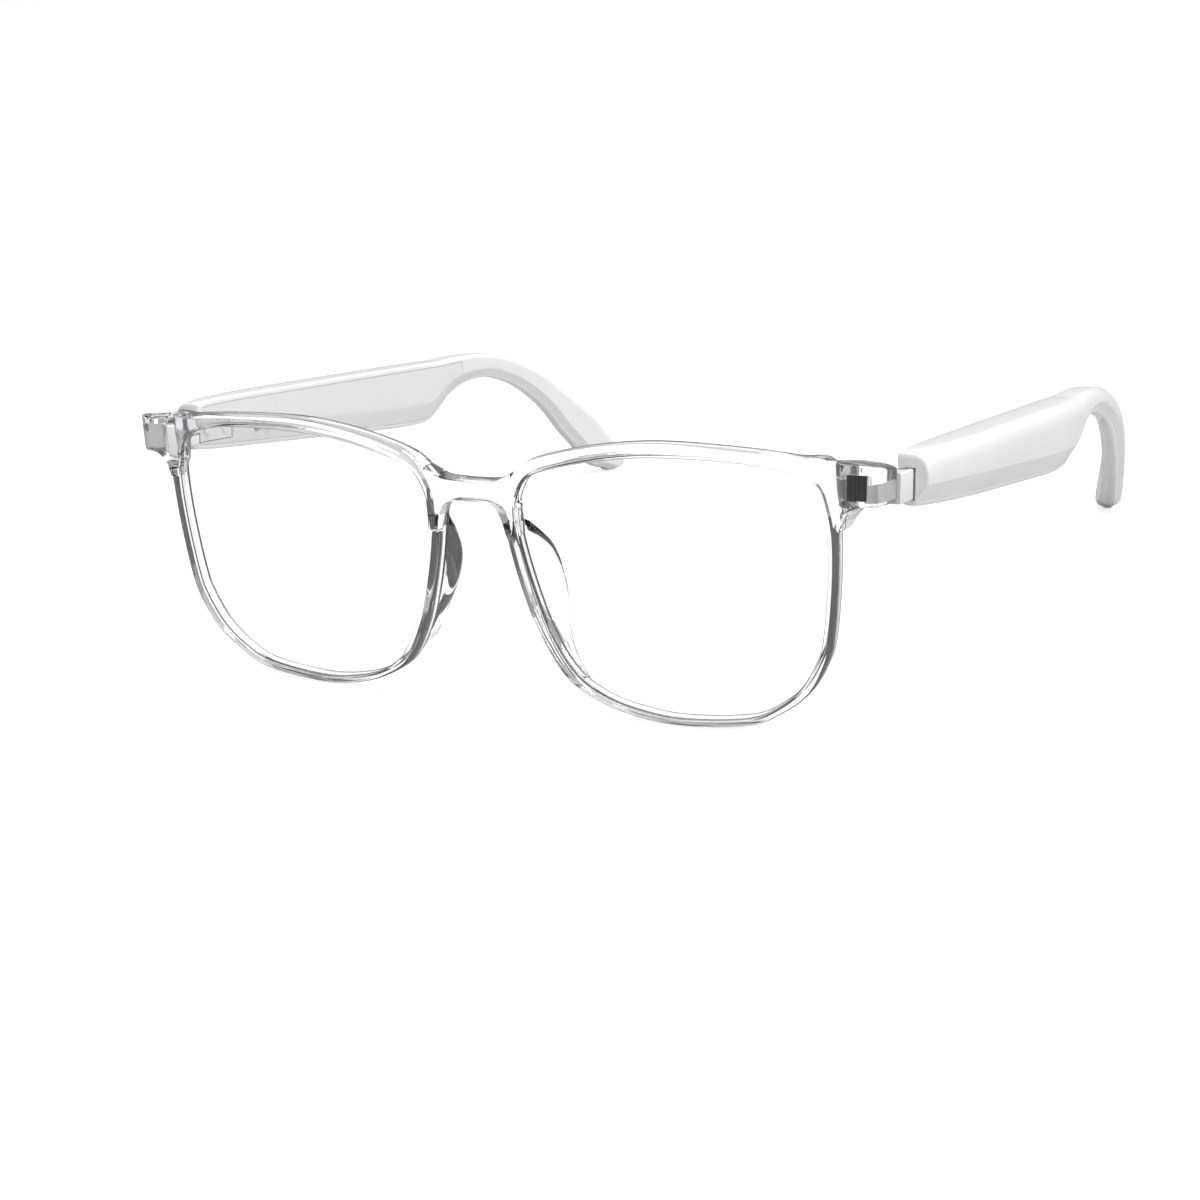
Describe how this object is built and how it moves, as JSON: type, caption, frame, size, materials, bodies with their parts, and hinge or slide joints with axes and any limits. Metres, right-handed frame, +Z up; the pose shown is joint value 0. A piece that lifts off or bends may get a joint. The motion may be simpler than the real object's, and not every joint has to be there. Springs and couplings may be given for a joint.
{
  "type": "smart glasses",
  "caption": "Eyeglasses with a clear full-rim front, clear nose pads and two white folding temples that hold electronics, each ending in an ear hook.",
  "frame": {"origin": "middle of the bounding box's bottom, on the surface that the open glasses stand on, resting on both rims and both temple tips", "axes": "+X to the wearer's left, +Y back along the temples, +Z up"},
  "size_m": [0.1482, 0.1545, 0.0477],
  "materials": {
    "clear_frame": "polished clear plastic",
    "clear_pad": "polished clear plastic",
    "lens": "clear, polished both sides",
    "white_shell": "high gloss white",
    "white_cover": "satin white",
    "dark_metal": "black plated",
    "steel": "plain",
    "board": "solder mask",
    "cell_foil": "foil pouch",
    "black_plastic": "moulded",
    "grille_metal": "fine perforated plate",
    "gold": "plated",
    "film": "polyimide film"
  },
  "bodies": {
    "front": {"front_frame": "clear_frame", "lens_left": "lens", "lens_right": "lens", "nose_pad_left": "clear_pad", "nose_pad_right": "clear_pad", "hinge_leaf_front_left": "dark_metal", "hinge_leaf_front_right": "dark_metal", "hinge_screw_left": "steel", "hinge_screw_right": "steel"},
    "temple_left": {"temple_shell_left": "white_shell", "temple_cover_left": "white_cover", "hinge_leaf_temple_left": "steel", "leaf_screws_left": "steel", "circuit_board_left": "board", "battery_left": "cell_foil", "speaker_left": "black_plastic", "speaker_grille_left": "grille_metal", "microphone_left": "gold", "touch_sensor_left": "film", "charging_contacts_left": "steel", "tip_core_left": "steel"},
    "temple_right": {"temple_shell_right": "white_shell", "temple_cover_right": "white_cover", "hinge_leaf_temple_right": "steel", "leaf_screws_right": "steel", "circuit_board_right": "board", "battery_right": "cell_foil", "speaker_right": "black_plastic", "speaker_grille_right": "grille_metal", "microphone_right": "gold", "touch_sensor_right": "film", "charging_contacts_right": "steel", "tip_core_right": "steel"}
  },
  "joints": [
    {"name": "fold_left", "type": "hinge", "parent": "front", "child": "temple_left", "pos_m": [0.069, -0.06, 0.03959], "axis": [0, 0.1166, 0.9932], "range_deg": [0, 88]},
    {"name": "fold_right", "type": "hinge", "parent": "front", "child": "temple_right", "pos_m": [-0.069, -0.06, 0.03959], "axis": [0, -0.1166, -0.9932], "range_deg": [0, 76]}
  ]
}
